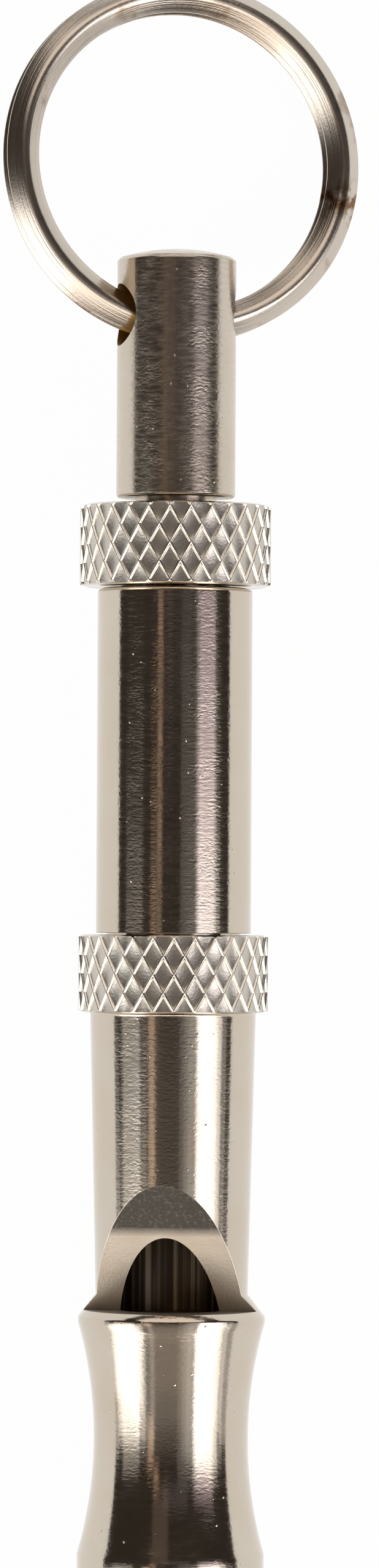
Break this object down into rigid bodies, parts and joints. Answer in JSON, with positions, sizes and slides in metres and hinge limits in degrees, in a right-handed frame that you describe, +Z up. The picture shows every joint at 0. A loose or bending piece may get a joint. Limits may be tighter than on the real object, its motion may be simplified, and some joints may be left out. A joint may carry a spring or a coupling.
{
  "type": "ultrasonic whistle",
  "caption": "Slim plated metal whistle with a waisted mouthpiece, angled sound window, knurled collar and lock nut, tuning screw with piston, and a split ring to hang it by.",
  "frame": {"origin": "middle of the flat mouth end, on the whistle's axis", "axes": "+Y along the whistle's axis from the mouth end to the ring, +Z up through the sound window as the whistle lies on its side, +X to the right seen from above"},
  "size_m": [0.0216, 0.0963, 0.0114],
  "materials": {
    "nickel_plate": "bright nickel plate on turned brass",
    "ring_steel": "plated spring steel",
    "bare_brass": "turned, unplated"
  },
  "bodies": {
    "whistle": {"whistle_body": "nickel_plate", "barrel": "nickel_plate", "windway_plug": "bare_brass"},
    "piston": {"piston": "bare_brass"},
    "tuning_screw": {"tuning_screw": "nickel_plate"},
    "split_ring": {"split_ring": "ring_steel"},
    "lock_nut": {"lock_nut": "nickel_plate"}
  },
  "joints": [
    {"name": "piston_travel", "type": "slide", "parent": "whistle", "child": "piston", "axis": [0, 1, 0], "range_m": [-0.00035, 0.01]},
    {"name": "tuning_turn", "type": "hinge", "parent": "piston", "child": "tuning_screw", "pos_m": [0, 0.0645, 0], "axis": [0, 1, 0], "range_deg": [-126.5, 3601]},
    {"name": "ring_swing", "type": "hinge", "parent": "tuning_screw", "child": "split_ring", "pos_m": [0, 0.0758, 0], "axis": [0.9613, 0, -0.2756], "range_deg": [-153, 161]},
    {"name": "lock_nut_turn", "type": "hinge", "parent": "whistle", "child": "lock_nut", "pos_m": [0, 0.062, 0], "axis": [0, 1, 0], "range_deg": [0, 150]}
  ],
  "couplings": [
    {"joint": "tuning_turn", "follows": "piston_travel", "rad_per_m": 6283.2}
  ]
}
